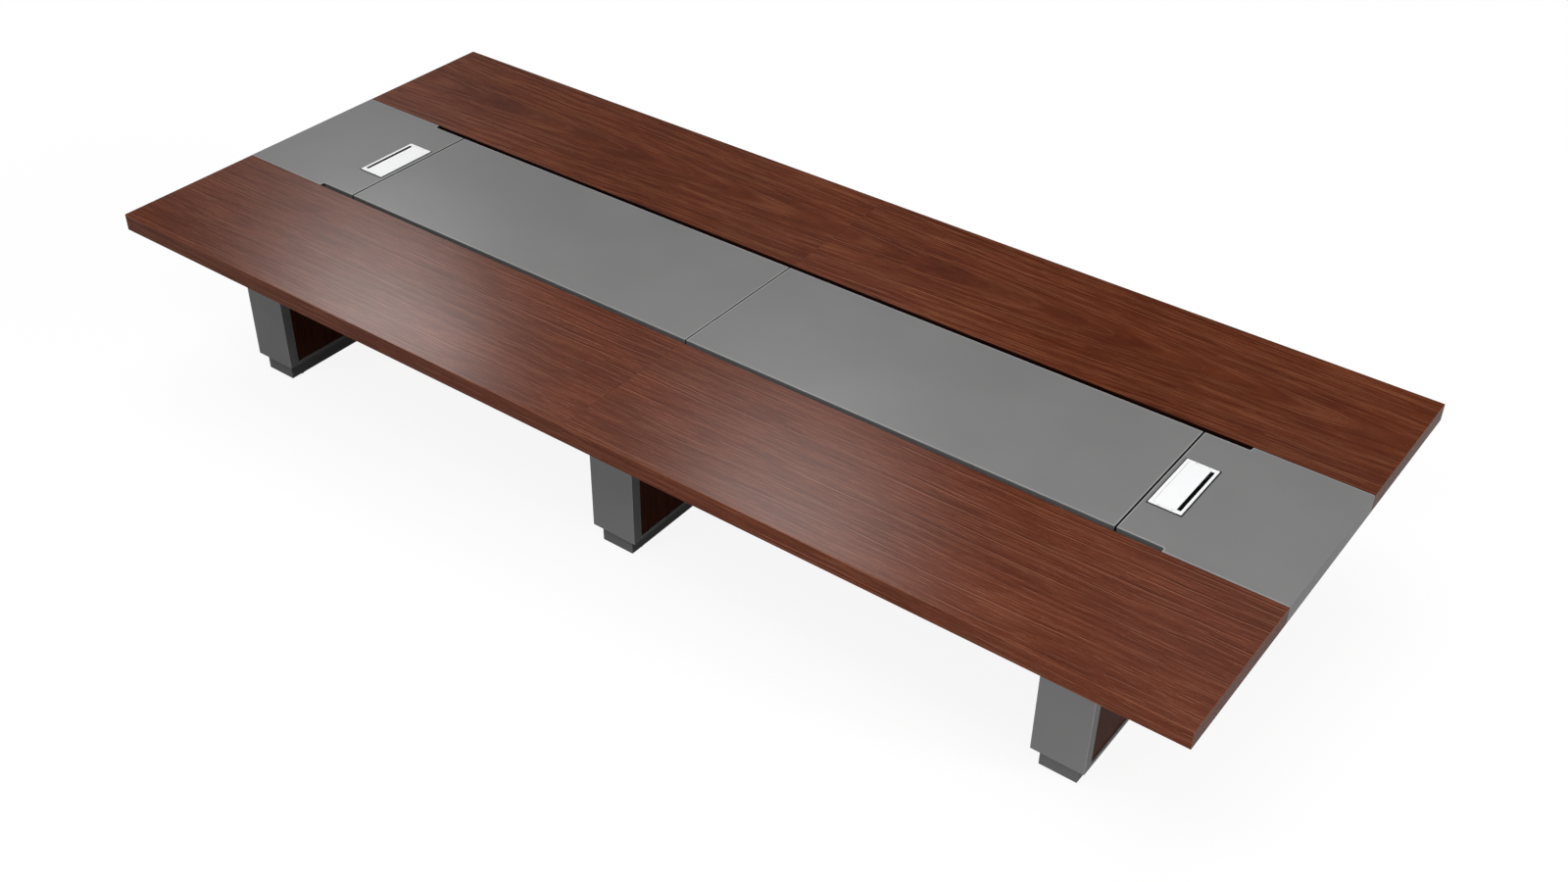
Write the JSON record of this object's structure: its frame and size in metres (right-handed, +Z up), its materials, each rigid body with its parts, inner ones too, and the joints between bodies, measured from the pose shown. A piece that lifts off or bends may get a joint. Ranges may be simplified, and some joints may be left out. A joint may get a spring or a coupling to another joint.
{
  "type": "conference table",
  "caption": "Long boardroom table with wood tops either side of a grey band, open cable slots, lift-off covers, flush wire boxes with hinged lids, and box pedestals on plinths.",
  "frame": {"origin": "on the floor under the middle of the table", "axes": "+X along the length towards the right end in the picture, +Y across the table away from the near side, +Z up"},
  "size_m": [5, 2.1, 0.753],
  "materials": {
    "wood_top": "satin dark red-brown veneer, grain along the table",
    "pedestal_wood": "satin very dark red-brown veneer",
    "grey_laminate": "satin mid-grey laminate on board",
    "plinth_grey": "matt dark grey laminate on board",
    "bearer_wood": "sawn softwood, stained dark",
    "trough_steel": "dark powder coat",
    "wire_box_metal": "pale satin anodised",
    "pin_steel": "bright",
    "brush_nylon": "black bristles",
    "glide_nylon": "black moulded nylon"
  },
  "bodies": {
    "table": {"wood_top_near": "wood_top", "wood_top_far": "wood_top", "end_panel_left": "grey_laminate", "end_panel_right": "grey_laminate", "bearer_left_outer": "bearer_wood", "bearer_left_inner": "bearer_wood", "bearer_middle": "bearer_wood", "bearer_right_inner": "bearer_wood", "bearer_right_outer": "bearer_wood", "trough_left": "trough_steel", "trough_right": "trough_steel", "left_pedestal_near_board": "grey_laminate", "left_pedestal_far_board": "grey_laminate", "left_pedestal_base_board": "grey_laminate", "left_pedestal_head_board": "grey_laminate", "left_pedestal_left_side": "pedestal_wood", "left_pedestal_right_side": "pedestal_wood", "left_pedestal_plinth": "plinth_grey", "left_pedestal_glide_near_left": "glide_nylon", "left_pedestal_glide_near_right": "glide_nylon", "left_pedestal_glide_far_left": "glide_nylon", "left_pedestal_glide_far_right": "glide_nylon", "middle_pedestal_near_board": "grey_laminate", "middle_pedestal_far_board": "grey_laminate", "middle_pedestal_base_board": "grey_laminate", "middle_pedestal_head_board": "grey_laminate", "middle_pedestal_left_side": "pedestal_wood", "middle_pedestal_right_side": "pedestal_wood", "middle_pedestal_plinth": "plinth_grey", "middle_pedestal_glide_near_left": "glide_nylon", "middle_pedestal_glide_near_right": "glide_nylon", "middle_pedestal_glide_far_left": "glide_nylon", "middle_pedestal_glide_far_right": "glide_nylon", "right_pedestal_near_board": "grey_laminate", "right_pedestal_far_board": "grey_laminate", "right_pedestal_base_board": "grey_laminate", "right_pedestal_head_board": "grey_laminate", "right_pedestal_left_side": "pedestal_wood", "right_pedestal_right_side": "pedestal_wood", "right_pedestal_plinth": "plinth_grey", "right_pedestal_glide_near_left": "glide_nylon", "right_pedestal_glide_near_right": "glide_nylon", "right_pedestal_glide_far_left": "glide_nylon", "right_pedestal_glide_far_right": "glide_nylon", "wire_box_left_frame": "wire_box_metal", "wire_box_left_brush": "brush_nylon", "wire_box_left_pin_a": "pin_steel", "wire_box_left_pin_b": "pin_steel", "wire_box_right_frame": "wire_box_metal", "wire_box_right_brush": "brush_nylon", "wire_box_right_pin_a": "pin_steel", "wire_box_right_pin_b": "pin_steel"},
    "lid_left": {"wire_box_left_lid": "wire_box_metal"},
    "lid_right": {"wire_box_right_lid": "wire_box_metal"},
    "cover_left": {"cover_left": "grey_laminate"},
    "cover_right": {"cover_right": "grey_laminate"}
  },
  "joints": [
    {"name": "lid_left_hinge", "type": "hinge", "parent": "table", "child": "lid_left", "pos_m": [-1.9023, 0, 0.7515], "axis": [0, 1, 0], "range_deg": [0, 100]},
    {"name": "lid_right_hinge", "type": "hinge", "parent": "table", "child": "lid_right", "pos_m": [1.9023, 0, 0.7515], "axis": [0, -1, 0], "range_deg": [0, 100]},
    {"name": "cover_left_lift", "type": "slide", "parent": "table", "child": "cover_left", "axis": [0, 0, 1], "range_m": [0, 0.15]},
    {"name": "cover_right_lift", "type": "slide", "parent": "table", "child": "cover_right", "axis": [0, 0, 1], "range_m": [0, 0.15]}
  ]
}
